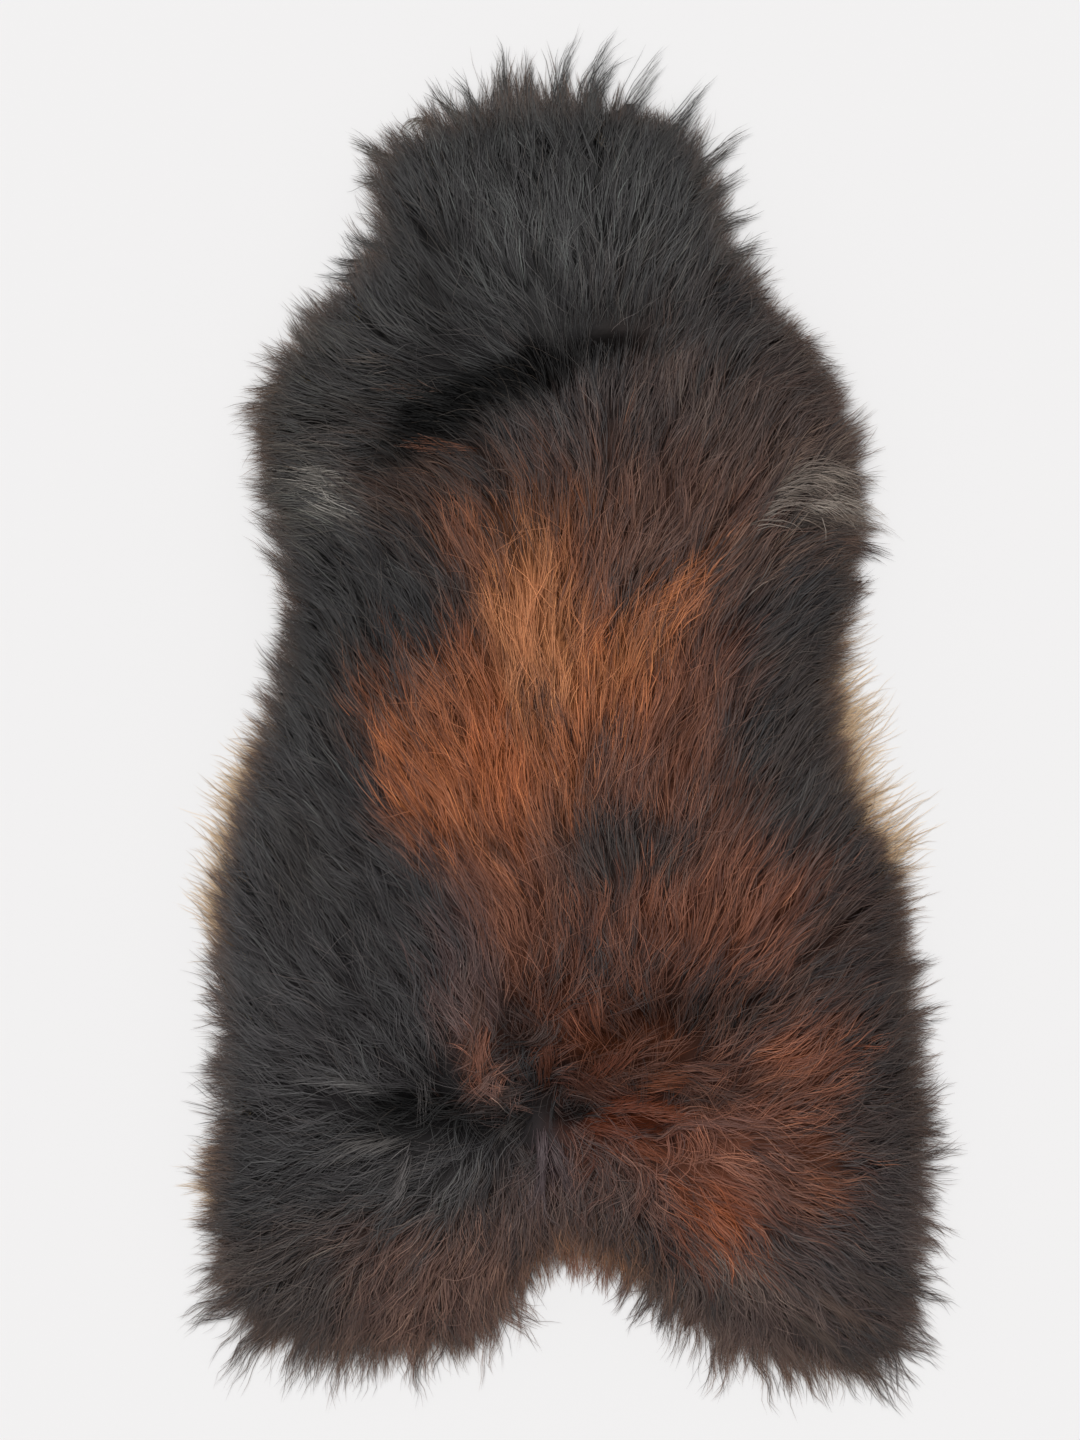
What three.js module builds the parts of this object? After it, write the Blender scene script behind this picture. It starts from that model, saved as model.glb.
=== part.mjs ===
// Icelandic sheepskin: one tanned hide lying flat with its long wool up.
// Millimetres. The floor is z = 0, the neck points to +y, and x runs across the back.
import * as THREE from "three";
import { ImprovedNoise } from "three/addons/math/ImprovedNoise.js";

// Hide, a flat sheet of leather
const HIDE_THICKNESS = 2.5;
const HIDE_SHARE = 0.98; // the hide stops just inside the slab of wool, measured from the middle
const HIDE_STEPS = 132;

// Fleece, a lumpy slab of matted wool with loose locks round its rim
const PIECE_GAP = 0.3;
const FLEECE_BOTTOM = HIDE_THICKNESS + PIECE_GAP;
const WALL_TOP = 12; // height of the slab where the rim locks grow out of it
const CROWN_TOP = 44; // height of the wool over the middle of the back
const CROWN_ROUNDNESS = 2.6; // higher is flatter on top and steeper at the rim
const RING_SPACING = 19;
const RIM_SOFTENING = 0.09; // how soon the rings lose the rim's notches on their way to the middle
const SPINE_STRETCH = 0.65; // under 1, the rings close in on a spine rather than on a point
const RING_SHARES = [
  0.972, 0.935, 0.89, 0.84, 0.79, 0.74, 0.69, 0.64, 0.59, 0.54, 0.49,
  0.44, 0.39, 0.34, 0.29, 0.24, 0.19, 0.14, 0.09, 0.045,
];

// Rim locks, three-sided, flat on the floor and ridged on top
const LOCK_COUNT = 212;
const LOCK_ROOT_SHARE = 0.92; // width of a root in its share of the rim
const LOCK_SHORTEST = 0.62; // shortest and longest lock, as shares of the reach at its place
const LOCK_LONGEST = 1.12;
const LOCK_SWAY = 8; // degrees that a lock turns from its neighbours
const LOCK_CURL = 30; // degrees that a lock bends along its length
const LOCK_SECTIONS = [
  { along: 0.34, width: 1, top: 12 },
  { along: 0.7, width: 0.82, top: 9 },
  { along: 1, width: 0.24, top: 3 },
];

// The rim of the slab, clockwise from the top of the neck. reach is how far the
// longest locks go past it, and heading is the way that they point, in degrees from +x.
const RIM = [
  { x: -5, y: 510, reach: 66, heading: 90 },
  { x: 52, y: 505, reach: 60, heading: 78 },
  { x: 92, y: 490, reach: 48, heading: 62 },
  { x: 108, y: 455, reach: 40, heading: 48 },
  { x: 131, y: 388, reach: 34, heading: 42 },
  { x: 151, y: 356, reach: 34, heading: 44 },
  { x: 205, y: 296, reach: 34, heading: 36 },
  { x: 233, y: 222, reach: 32, heading: 12 },
  { x: 232, y: 137, reach: 38, heading: 0 },
  { x: 217, y: 57, reach: 36, heading: 8 },
  { x: 222, y: -23, reach: 34, heading: 14 },
  { x: 247, y: -86, reach: 36, heading: 16 },
  { x: 266, y: -132, reach: 36, heading: 10 },
  { x: 275, y: -225, reach: 38, heading: 0 },
  { x: 287, y: -326, reach: 38, heading: -4 },
  { x: 284, y: -427, reach: 38, heading: -10 },
  { x: 276, y: -502, reach: 42, heading: -30 },
  { x: 250, y: -528, reach: 44, heading: -62 },
  { x: 181, y: -518, reach: 46, heading: -85 },
  { x: 126, y: -499, reach: 50, heading: -94 },
  { x: 100, y: -477, reach: 54, heading: -98 },
  { x: 60, y: -452, reach: 44, heading: -94 },
  { x: 8, y: -430, reach: 22, heading: -88 },
  { x: -44, y: -458, reach: 34, heading: -80 },
  { x: -63, y: -490, reach: 44, heading: -82 },
  { x: -92, y: -510, reach: 50, heading: -90 },
  { x: -164, y: -508, reach: 48, heading: -96 },
  { x: -244, y: -500, reach: 46, heading: -124 },
  { x: -271, y: -476, reach: 40, heading: -150 },
  { x: -284, y: -415, reach: 38, heading: -172 },
  { x: -278, y: -343, reach: 40, heading: -180 },
  { x: -275, y: -259, reach: 40, heading: -182 },
  { x: -281, y: -174, reach: 38, heading: -180 },
  { x: -270, y: -90, reach: 38, heading: -178 },
  { x: -244, y: -14, reach: 34, heading: -182 },
  { x: -225, y: 62, reach: 32, heading: -188 },
  { x: -225, y: 142, reach: 30, heading: -190 },
  { x: -245, y: 213, reach: 28, heading: -190 },
  { x: -236, y: 281, reach: 30, heading: -204 },
  { x: -194, y: 343, reach: 36, heading: -228 },
  { x: -154, y: 386, reach: 30, heading: -238 },
  { x: -144, y: 412, reach: 20, heading: -226 },
  { x: -149, y: 452, reach: 34, heading: -220 },
  { x: -134, y: 478, reach: 44, heading: -238 },
  { x: -72, y: 500, reach: 54, heading: -260 },
];

// Valleys in the wool, each a straight stretch between two points of the back
const VALLEYS = [
  { part: "neck crease", x0: -150, y0: 262, x1: -92, y1: 292, depth: 15, halfWidth: 24 },
  { part: "neck crease", x0: -92, y0: 292, x1: -20, y1: 313, depth: 20, halfWidth: 26 },
  { part: "neck crease", x0: -20, y0: 313, x1: 66, y1: 316, depth: 20, halfWidth: 22 },
  { part: "rump parting", x0: -150, y0: -322, x1: -60, y1: -328, depth: 9, halfWidth: 24 },
  { part: "rump parting", x0: -20, y0: -324, x1: 120, y1: -312, depth: 8, halfWidth: 24 },
];

// Humps and hollows, each a soft oval
const OVALS = [
  { part: "nape", x: -5, y: 410, rise: 7, across: 95, along: 62 },
  { part: "withers", x: 22, y: 236, rise: 9, across: 120, along: 46 },
  { part: "left shoulder", x: -180, y: 215, rise: 5, across: 60, along: 70 },
  { part: "right shoulder", x: 165, y: 215, rise: 6, across: 60, along: 70 },
  { part: "left back", x: -110, y: 60, rise: 5, across: 55, along: 60 },
  { part: "right back", x: 85, y: 95, rise: 5, across: 60, along: 45 },
  { part: "loin", x: 60, y: -90, rise: 5, across: 70, along: 50 },
  { part: "left flank", x: -175, y: -140, rise: 6, across: 65, along: 80 },
  { part: "right flank", x: 175, y: -170, rise: 7, across: 70, along: 80 },
  { part: "rump tuft", x: -45, y: -262, rise: 9, across: 44, along: 48 },
  { part: "left haunch", x: -170, y: -400, rise: 6, across: 70, along: 52 },
  { part: "right haunch", x: 150, y: -400, rise: 7, across: 75, along: 56 },
  { part: "spine dip", x: -17, y: 28, rise: -8, across: 26, along: 44 },
  { part: "left pocket", x: -57, y: -107, rise: -8, across: 22, along: 26 },
  { part: "rump hollow", x: -110, y: -332, rise: -13, across: 32, along: 24 },
  { part: "rump hollow", x: 4, y: -322, rise: -13, across: 28, along: 26 },
  { part: "tail dip", x: 10, y: -425, rise: -8, across: 34, along: 40 },
];

// Lumps of matted wool all over the back, from large to small
const LUMPS = [
  { height: 9, across: 74, along: 96, layer: 0.5 },
  { height: 6, across: 37, along: 46, layer: 7.5 },
];

const noise = new ImprovedNoise();

const rimCurve = new THREE.CatmullRomCurve3(
  RIM.map((row) => new THREE.Vector3(row.x, row.y, 0)),
  true,
  "centripetal",
);

// The point of the rim at a share of its length, from the top of the neck clockwise.
function rimPoint(share) {
  return rimCurve.getPointAt(((share % 1) + 1) % 1);
}

// A column of the rim's table at a share of its length.
function rimValue(share, column) {
  const place = rimCurve.getUtoTmapping(((share % 1) + 1) % 1) * RIM.length;
  const row = RIM[Math.floor(place) % RIM.length];
  const next = RIM[(Math.floor(place) + 1) % RIM.length];
  const lap = column === "heading" && next === RIM[0] ? -360 : 0;
  return THREE.MathUtils.lerp(row[column], next[column] + lap, place % 1);
}

// The distance from a point to a stretch, as a share of the valley's half width.
function valleyDistance(valley, x, y) {
  const start = new THREE.Vector3(valley.x0, valley.y0, 0);
  const end = new THREE.Vector3(valley.x1, valley.y1, 0);
  const point = new THREE.Vector3(x, y, 0);
  const nearest = new THREE.Line3(start, end).closestPointToPoint(point, true, new THREE.Vector3());
  return nearest.distanceTo(point) / valley.halfWidth;
}

// How far the wool stands above or below its plain crown.
function woolRelief(x, y) {
  const lumps = LUMPS.map((lump) => lump.height * noise.noise(x / lump.across, y / lump.along, lump.layer));
  const ovals = OVALS.map((oval) => {
    const away = ((x - oval.x) / oval.across) ** 2 + ((y - oval.y) / oval.along) ** 2;
    return oval.rise * Math.exp(-away);
  });
  const valley = Math.max(...VALLEYS.map((row) => row.depth * Math.exp(-(valleyDistance(row, x, y) ** 2))));
  return [...lumps, ...ovals].reduce((sum, part) => sum + part, 0) - valley;
}

// The top of the wool at a point that lies a share of the way from the middle to the rim.
function woolTop(x, y, share) {
  const crown = WALL_TOP + (CROWN_TOP - WALL_TOP) * (1 - share ** CROWN_ROUNDNESS) ** 0.5;
  const nearRim = THREE.MathUtils.smoothstep(1 - share, 0, 0.16);
  return crown + woolRelief(x, y) * nearRim;
}

// The same throw of the dice each time, one for each number asked.
function chance(number) {
  return THREE.MathUtils.euclideanModulo(Math.sin(number * 12.9898) * 43758.5453, 1);
}

// A skin that is put together point by point, with the faces' corners anticlockwise from outside.
function newSkin() {
  const places = [];
  const corners = [];
  return {
    point: (x, y, z) => places.push(x, y, z) / 3 - 1,
    face: (a, b, c) => corners.push(a, b, c),
    geometry: () => {
      const made = new THREE.BufferGeometry();
      made.setAttribute("position", new THREE.Float32BufferAttribute(places, 3));
      made.setIndex(corners);
      made.computeVertexNormals();
      return made;
    },
  };
}

// The faces between a ring and the smaller ring inside it, whatever their counts.
function joinRings(skin, outer, inner) {
  let i = 0;
  let j = 0;
  while (i < outer.length || j < inner.length) {
    const a = outer[i % outer.length];
    const b = inner[j % inner.length];
    if ((i + 0.5) / outer.length < (j + 0.5) / inner.length || j === inner.length) {
      i += 1;
      skin.face(a, b, outer[i % outer.length]);
    } else {
      j += 1;
      skin.face(a, b, inner[j % inner.length]);
    }
  }
}

// A point on the way from the middle to the rim, where the rim's notches fade as the rings get smaller.
function ringPoint(place, share) {
  const steps = [-1, -0.75, -0.5, -0.25, 0, 0.25, 0.5, 0.75, 1];
  const near = steps.map((step) => rimPoint(place + step * RIM_SOFTENING * (1 - share)));
  const middle = near.reduce((total, point) => total.add(point), new THREE.Vector3()).divideScalar(steps.length);
  return new THREE.Vector3(middle.x * share, middle.y * share ** SPINE_STRETCH, 0);
}

// One ring of the slab's top, at a share of the way to the rim.
function topRing(skin, share) {
  const count = Math.max(6, Math.round((rimCurve.getLength() * share) / RING_SPACING));
  const offset = 0.5 / LOCK_COUNT; // the rings start in line with the first lock
  return Array.from({ length: count }, (_, step) => {
    const { x, y } = ringPoint(step / count + offset, share);
    return skin.point(x, y, woolTop(x, y, share));
  });
}

// The root of a lock in the slab's wall: its two lower corners and its ridge.
function lockRoot(skin, number) {
  const half = LOCK_ROOT_SHARE / 2;
  const middle = number + 0.5;
  const [left, right, ridge] = [middle - half, middle + half, middle].map((place) => rimPoint(place / LOCK_COUNT));
  return {
    left: skin.point(left.x, left.y, FLEECE_BOTTOM),
    right: skin.point(right.x, right.y, FLEECE_BOTTOM),
    ridge: skin.point(ridge.x, ridge.y, WALL_TOP),
    at: ridge,
    chord: right.sub(left),
  };
}

// The faces between two sections of a lock, the second further out.
function joinSections(skin, near, far) {
  skin.face(near.right, far.right, near.ridge);
  skin.face(near.ridge, far.right, far.ridge);
  skin.face(near.left, near.ridge, far.left);
  skin.face(near.ridge, far.ridge, far.left);
  skin.face(near.left, far.left, near.right);
  skin.face(near.right, far.left, far.right);
}

// A lock that runs out from its root, comes down on the floor and ends in a small blunt tip.
function growLock(skin, root, number) {
  const share = (number + 0.5) / LOCK_COUNT;
  const length = THREE.MathUtils.lerp(LOCK_SHORTEST, LOCK_LONGEST, chance(number));
  const reach = rimValue(share, "reach") * length;
  const heading = rimValue(share, "heading") + LOCK_SWAY * (chance(number + 0.3) - 0.5);
  const curl = LOCK_CURL * (chance(number + 0.6) - 0.5);
  let near = root;
  let at = root.at;
  let before = 0;
  LOCK_SECTIONS.forEach(({ along, width, top }) => {
    const turn = THREE.MathUtils.degToRad(heading + curl * (along - 0.5));
    const ahead = new THREE.Vector3(Math.cos(turn), Math.sin(turn), 0);
    at = at.clone().addScaledVector(ahead, reach * (along - before));
    const side = new THREE.Vector3(ahead.y, -ahead.x, 0);
    side.multiplyScalar((side.dot(root.chord) * width) / 2);
    const far = {
      left: skin.point(at.x - side.x, at.y - side.y, 0),
      right: skin.point(at.x + side.x, at.y + side.y, 0),
      ridge: skin.point(at.x, at.y, top),
    };
    joinSections(skin, near, far);
    near = far;
    before = along;
  });
  skin.face(near.left, near.ridge, near.right);
}

// The slab's upright wall, which shows between the roots of the locks.
function joinRoots(skin, root, next) {
  skin.face(root.right, next.ridge, next.left);
  skin.face(root.right, root.ridge, next.ridge);
}

function makeFleece() {
  const skin = newSkin();
  const roots = Array.from({ length: LOCK_COUNT }, (_, number) => lockRoot(skin, number));
  roots.forEach((root, number) => {
    growLock(skin, root, number);
    joinRoots(skin, root, roots[(number + 1) % LOCK_COUNT]);
  });

  const rings = [roots.map((root) => root.ridge), ...RING_SHARES.map((share) => topRing(skin, share))];
  rings.slice(1).forEach((inner, number) => joinRings(skin, rings[number], inner));
  const crown = skin.point(0, 0, woolTop(0, 0, 0));
  const last = rings.at(-1);
  last.forEach((corner, step) => skin.face(crown, last[(step + 1) % last.length], corner));

  const underside = skin.point(0, 0, FLEECE_BOTTOM);
  const edge = roots.flatMap((root) => [root.left, root.right]);
  edge.forEach((corner, step) => skin.face(underside, corner, edge[(step + 1) % edge.length]));

  const wool = new THREE.MeshStandardMaterial({ color: 0x4a3c37, roughness: 0.95, metalness: 0 });
  const mesh = new THREE.Mesh(skin.geometry(), wool);
  mesh.name = "fleece";
  return mesh;
}

function makeHide() {
  const edge = Array.from({ length: HIDE_STEPS }, (_, step) => {
    const { x, y } = rimPoint(step / HIDE_STEPS).multiplyScalar(HIDE_SHARE);
    return new THREE.Vector2(x, y);
  });
  const sheet = new THREE.ExtrudeGeometry(new THREE.Shape(edge), {
    depth: HIDE_THICKNESS,
    bevelEnabled: false,
  });
  const leather = new THREE.MeshStandardMaterial({ color: 0xc9b594, roughness: 0.9, metalness: 0 });
  const mesh = new THREE.Mesh(sheet, leather);
  mesh.name = "hide";
  return mesh;
}

const sheepskin = new THREE.Group();
sheepskin.add(makeHide(), makeFleece());

export default sheepskin;
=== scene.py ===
import bpy
import numpy as np
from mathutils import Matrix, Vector
from mathutils.bvhtree import BVHTree


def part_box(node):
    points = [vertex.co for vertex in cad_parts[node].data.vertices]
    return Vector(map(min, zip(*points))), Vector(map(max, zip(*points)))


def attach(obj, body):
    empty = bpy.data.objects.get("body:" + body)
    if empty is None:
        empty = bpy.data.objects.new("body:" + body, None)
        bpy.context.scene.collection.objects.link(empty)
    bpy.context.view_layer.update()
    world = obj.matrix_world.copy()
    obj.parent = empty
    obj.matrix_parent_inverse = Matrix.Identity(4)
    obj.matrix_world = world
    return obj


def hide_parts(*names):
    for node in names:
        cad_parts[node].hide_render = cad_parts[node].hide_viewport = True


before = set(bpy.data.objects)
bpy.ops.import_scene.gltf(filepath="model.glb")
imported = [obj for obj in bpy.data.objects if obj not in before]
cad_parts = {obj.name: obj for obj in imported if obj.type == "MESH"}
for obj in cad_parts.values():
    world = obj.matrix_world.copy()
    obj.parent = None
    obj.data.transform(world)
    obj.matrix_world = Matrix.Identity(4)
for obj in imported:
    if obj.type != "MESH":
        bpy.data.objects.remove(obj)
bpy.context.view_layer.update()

# Camera
# The skin is seen from straight above, with the neck at the top of the upright picture.
# The picture's height is 1440 parts of 0.8425 mm at the floor.

MM = 0.001
PICTURE_HIGH = 1440 * 0.8425 * MM
CAMERA_OVER = Vector((-21 * MM, 2.5 * MM, 2.6))

scene = bpy.context.scene


def new_object(name, data):
    """A new object in the scene."""
    thing = bpy.data.objects.new(name, data)
    scene.collection.objects.link(thing)
    return thing


camera_data = bpy.data.cameras.new("overhead_camera")
camera_data.lens = camera_data.sensor_width * CAMERA_OVER.z / PICTURE_HIGH
camera = new_object("overhead_camera", camera_data)
camera.location = CAMERA_OVER
scene.camera = camera


# Floor and light
# A pale matt studio floor under one wide soft light from the neck's side, with a bright room
# all round. The floor is only a stage, and is no part of the skin.

FLOOR_WIDE = 12.0
FLOOR_COLOUR = "#f1f0f0"
ROOM_LIGHT = 0.52
SOFT_LIGHT = 1.9
SOFT_LIGHT_FROM = Vector((-0.35, 0.62, 1.0))
SOFT_LIGHT_ANGLE = 0.7  # radians across, so that shadows have no edge


def linear(hex_colour):
    """An sRGB hex colour as linear red, green, blue."""
    parts = [int(hex_colour[i:i + 2], 16) / 255 for i in (1, 3, 5)]
    return tuple(p / 12.92 if p <= 0.04045 else ((p + 0.055) / 1.055) ** 2.4 for p in parts)


def add_node(material, kind, settings=None, links=None):
    """One node of a material, with its settings, and links to its sockets from (node, socket)."""
    tree = material.node_tree
    node = tree.nodes.new(kind)
    for name, value in (settings or {}).items():
        if name in node.inputs:
            node.inputs[name].default_value = value
        else:
            setattr(node, name, value)
    for name, (source, socket) in (links or {}).items():
        tree.links.new(source.outputs[socket], node.inputs[name])
    return node


def new_material(name):
    """A material with an empty node tree."""
    material = bpy.data.materials.new(name)
    material.use_nodes = True
    material.node_tree.nodes.clear()
    return material


def matt_floor_paint():
    """Matt paint: one even pale tone that takes a soft shadow and no gloss."""
    paint = new_material("matt_floor_paint")
    shader = add_node(paint, "ShaderNodeBsdfPrincipled", {
        "Base Color": (*linear(FLOOR_COLOUR), 1),
        "Roughness": 0.95,
        "Specular IOR Level": 0.1,
    })
    add_node(paint, "ShaderNodeOutputMaterial", links={"Surface": (shader, "BSDF")})
    return paint


bpy.ops.object.select_all(action="DESELECT")
bpy.ops.mesh.primitive_plane_add(size=FLOOR_WIDE, location=(0, 0, 0))
floor = bpy.context.object
floor.name = "studio_floor"
floor.data.materials.append(matt_floor_paint())

light_data = bpy.data.lights.new("soft_light", "SUN")
light_data.energy = SOFT_LIGHT
light_data.angle = SOFT_LIGHT_ANGLE
light = new_object("soft_light", light_data)
light.location = SOFT_LIGHT_FROM
light.rotation_euler = SOFT_LIGHT_FROM.to_track_quat("Z", "Y").to_euler()

room = bpy.data.worlds.new("bright_room")
room.use_nodes = True
room_light = room.node_tree.nodes["Background"]
room_light.inputs["Color"].default_value = (1, 1, 1, 1)
room_light.inputs["Strength"].default_value = ROOM_LIGHT
scene.world = room
scene.view_settings.view_transform = "Standard"


# Hide
# The tanned skin itself: one flat sheet of leather that the wool grows out of, cut to the
# animal's outline. Its flesh side, which lies on the floor, is buffed to a cream suede.

HIDE_COLOURS = ("#bfa883", "#d6c5a4")
HIDE_STAIN = 90 * MM  # size of the soft stains that tanning leaves
HIDE_NAP = 1.2 * MM  # the nap's own grain is finer, and is drawn coarser so that it shows
HIDE_CREASE = 26 * MM
HIDE_EDGE = 0.6 * MM
SAME_POINT = 0.01 * MM  # points nearer than this are merged
FLAT_WITHIN = 0.02  # radians between faces that are joined to one flat face


def set_tones(ramp, tones):
    """The tones of a colour ramp, each a place along it and a hex colour."""
    for element, (place, tone) in zip(ramp.color_ramp.elements, tones):
        element.position = place
        element.color = (*linear(tone), 1)


def buffed_suede():
    """Buffed sheepskin suede: dry and matt, with a short nap, cloudy stains and shallow creases."""
    suede = new_material("buffed_suede")
    place = add_node(suede, "ShaderNodeTexCoord")
    object_place = {"Vector": (place, "Object")}
    stain = add_node(suede, "ShaderNodeTexNoise", {"Scale": 1 / HIDE_STAIN, "Detail": 4.0}, object_place)
    colour = add_node(suede, "ShaderNodeValToRGB", links={"Fac": (stain, "Fac")})
    set_tones(colour, ((0.3, HIDE_COLOURS[0]), (0.7, HIDE_COLOURS[1])))
    nap = add_node(suede, "ShaderNodeTexNoise", {"Scale": 1 / HIDE_NAP, "Detail": 2.0}, object_place)
    crease = add_node(suede, "ShaderNodeTexNoise", {
        "Scale": 1 / HIDE_CREASE, "Detail": 5.0, "Roughness": 0.6,
    }, object_place)
    low = add_node(suede, "ShaderNodeBump", {"Strength": 0.5, "Distance": 1.5 * MM},
                   {"Height": (crease, "Fac")})
    fine = add_node(suede, "ShaderNodeBump", {"Strength": 0.4, "Distance": 0.3 * MM},
                    {"Height": (nap, "Fac"), "Normal": (low, "Normal")})
    shader = add_node(suede, "ShaderNodeBsdfPrincipled", {
        "Roughness": 0.92, "IOR": 1.5, "Specular IOR Level": 0.25, "Sheen Weight": 0.3,
    }, {"Base Color": (colour, "Color"), "Normal": (fine, "Normal")})
    add_node(suede, "ShaderNodeOutputMaterial", links={"Surface": (shader, "BSDF")})
    return suede


def in_edit_mode(tool, **settings):
    """A mesh tool run on the whole of the active piece."""
    bpy.ops.object.mode_set(mode="EDIT")
    bpy.ops.mesh.select_all(action="SELECT")
    tool(**settings)
    bpy.ops.object.mode_set(mode="OBJECT")


def copy_of_node(node, name):
    """A new piece from a copy of a CAD node's mesh, with its doubled points merged."""
    bpy.ops.object.select_all(action="DESELECT")
    piece = new_object(name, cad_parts[node].data.copy())
    piece.data.materials.clear()
    piece.select_set(True)
    bpy.context.view_layer.objects.active = piece
    in_edit_mode(bpy.ops.mesh.remove_doubles, threshold=SAME_POINT)
    in_edit_mode(bpy.ops.mesh.normals_make_consistent, inside=False)
    return piece


hide = copy_of_node("hide", "hide_leather")
in_edit_mode(bpy.ops.mesh.dissolve_limited, angle_limit=FLAT_WITHIN)
edge_round = hide.modifiers.new("edge_round", "BEVEL")
edge_round.width = HIDE_EDGE
edge_round.segments = 2
edge_round.limit_method = "ANGLE"
bpy.ops.object.modifier_apply(modifier="edge_round")
hide.data.materials.append(buffed_suede())

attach(hide, "root")
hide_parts("hide")


# Lie of the wool
# How high the wool stands and which way it lies, for all the wool pieces. The height is
# the fleece's own, felt from above every few millimetres. The lie is listed below.

FEEL_STEP = 4 * MM
FEEL_MARGIN = 40 * MM
GRID_END = 1.001  # keeps a place just inside the last cell of a grid
WALL_TOP = 12 * MM  # the rim of the fleece's slab, where its loose locks begin
SKIRT_HIGH = 11 * MM  # loose wool past the rim comes down to the floor
SKIRT_WIDE = 17 * MM
SKIRT_LOW = 1.5 * MM
CLOUD_CELLS = 256
CLOUD_MIDDLE = 100  # the cell that the middle of the skin is in

# Pushes by soft clouds, each as how far, how wide its clouds are, and a seed
LIE_WARP_X = ((12 * MM, 80 * MM, 11),)
LIE_WARP_Y = ((9 * MM, 60 * MM, 12),)
SWAYS = ((13, 55 * MM, 13), (8, 20 * MM, 14))  # how far in degrees
OUTWARD = 0.45  # how far the wool turns outward at the rim
OUTWARD_REACH = 22 * MM

# Headings in degrees from +x, at seven places across the back, from the neck to the tail
LIE_ACROSS = (-270, -180, -90, 0, 90, 180, 270)  # mm
LIE = (
    # y mm, left rim, left, left of spine, spine, right of spine, right, right rim
    (580, 130, 118, 100, 86, 64, 56, 48),
    (500, 135, 125, 103, 90, 70, 52, 40),
    (440, 140, 125, 105, 92, 78, 50, 30),
    (398, 140, 130, 112, 93, 75, 42, 25),
    (356, 145, 140, 132, 96, 62, 32, 18),
    (323, 152, 152, 150, 104, 55, 30, 15),
    (289, 165, 168, 170, 114, 72, 44, 20),
    (255, 172, 175, 164, 108, 74, 52, 24),
    (222, 178, 172, 140, 103, 76, 56, 8),
    (188, 166, 150, 128, 98, 73, 46, -14),
    (154, 142, 132, 118, 96, 71, 38, -22),
    (120, 132, 125, 112, 94, 68, 45, 32),
    (70, 128, 118, 105, 92, 70, 52, 44),
    (19, 128, 118, 105, 92, 72, 55, 47),
    (-31, 132, 122, 112, 95, 75, 55, 44),
    (-82, 137, 128, 118, 97, 78, 58, 40),
    (-132, 140, 130, 118, 95, 75, 58, 35),
    (-183, 138, 124, 108, 92, 72, 55, 30),
    (-233, 142, 128, 106, 92, 60, 42, 25),
    (-276, 152, 142, 120, 95, 38, 25, 15),
    (-305, 165, 160, 142, 100, 22, 14, 8),
    (-323, 172, 175, 165, 110, 12, 6, 2),
    (-329, 176, 184, 212, 258, 345, 356, 358),
    (-360, 181, 195, 226, 266, 326, 342, 354),
    (-402, 188, 210, 240, 268, 310, 330, 347),
    (-444, 202, 226, 254, 270, 298, 314, 334),
    (-486, 217, 240, 262, 273, 286, 300, 320),
    (-537, 234, 254, 268, 274, 277, 289, 306),
    (-580, 240, 258, 270, 274, 274, 286, 300),
)

fleece_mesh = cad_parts["fleece"].data
feeler = BVHTree.FromPolygons(
    [v.co for v in fleece_mesh.vertices], [p.vertices for p in fleece_mesh.polygons])
low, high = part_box("fleece")
grid_x = np.arange(low.x - FEEL_MARGIN, high.x + FEEL_MARGIN, FEEL_STEP)
grid_y = np.arange(low.y - FEEL_MARGIN, high.y + FEEL_MARGIN, FEEL_STEP)


def felt(x, y):
    """The height of the fleece at a point, or 0 past it."""
    place = feeler.ray_cast(Vector((x, y, 1)), Vector((0, 0, -1)))[0]
    return place.z if place else 0.0


heights = np.array([[felt(x, y) for x in grid_x] for y in grid_y])
slab = heights > WALL_TOP + SAME_POINT
rim_rows, rim_columns = np.nonzero(slab & ~(
    np.roll(slab, 1, 0) & np.roll(slab, -1, 0) & np.roll(slab, 1, 1) & np.roll(slab, -1, 1)))
rim_points = np.stack([grid_x[rim_columns], grid_y[rim_rows]], 1)


def rim_distance(x, y):
    """How far each point is from the slab's rim."""
    away = np.full(np.shape(x), np.inf)
    for rim_x, rim_y in rim_points:
        np.minimum(away, (x - rim_x) ** 2 + (y - rim_y) ** 2, out=away)
    return np.sqrt(away)


def blurred(values, passes):
    """A grid with each value shared with its neighbours, a few times over."""
    for _ in range(passes):
        values = sum(np.roll(values, step, axis) for step in (-1, 1) for axis in (0, 1)) / 8 + values / 2
    return values


# past_rim is below 0 inside the slab
mesh_x, mesh_y = np.meshgrid(grid_x, grid_y)
past_rim = rim_distance(mesh_x, mesh_y) * np.where(slab, -1, 1)
skirt = SKIRT_LOW + SKIRT_HIGH * np.exp(-(np.maximum(past_rim, 0) / SKIRT_WIDE) ** 2)
wool_height = blurred(np.where(slab, heights, skirt), 2)


def between_corners(values, i, j, u, v):
    """A grid's values u and v of the way across its cells i, j."""
    near = values[j, i] * (1 - u) + values[j, i + 1] * u
    far = values[j + 1, i] * (1 - u) + values[j + 1, i + 1] * u
    return near * (1 - v) + far * v


def read_grid(values, x, y):
    """A grid's value at any points, straight between its corners."""
    column = np.clip((x - grid_x[0]) / FEEL_STEP, 0, len(grid_x) - GRID_END)
    row = np.clip((y - grid_y[0]) / FEEL_STEP, 0, len(grid_y) - GRID_END)
    i, j = column.astype(int), row.astype(int)
    return between_corners(values, i, j, column - i, row - j)


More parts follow.
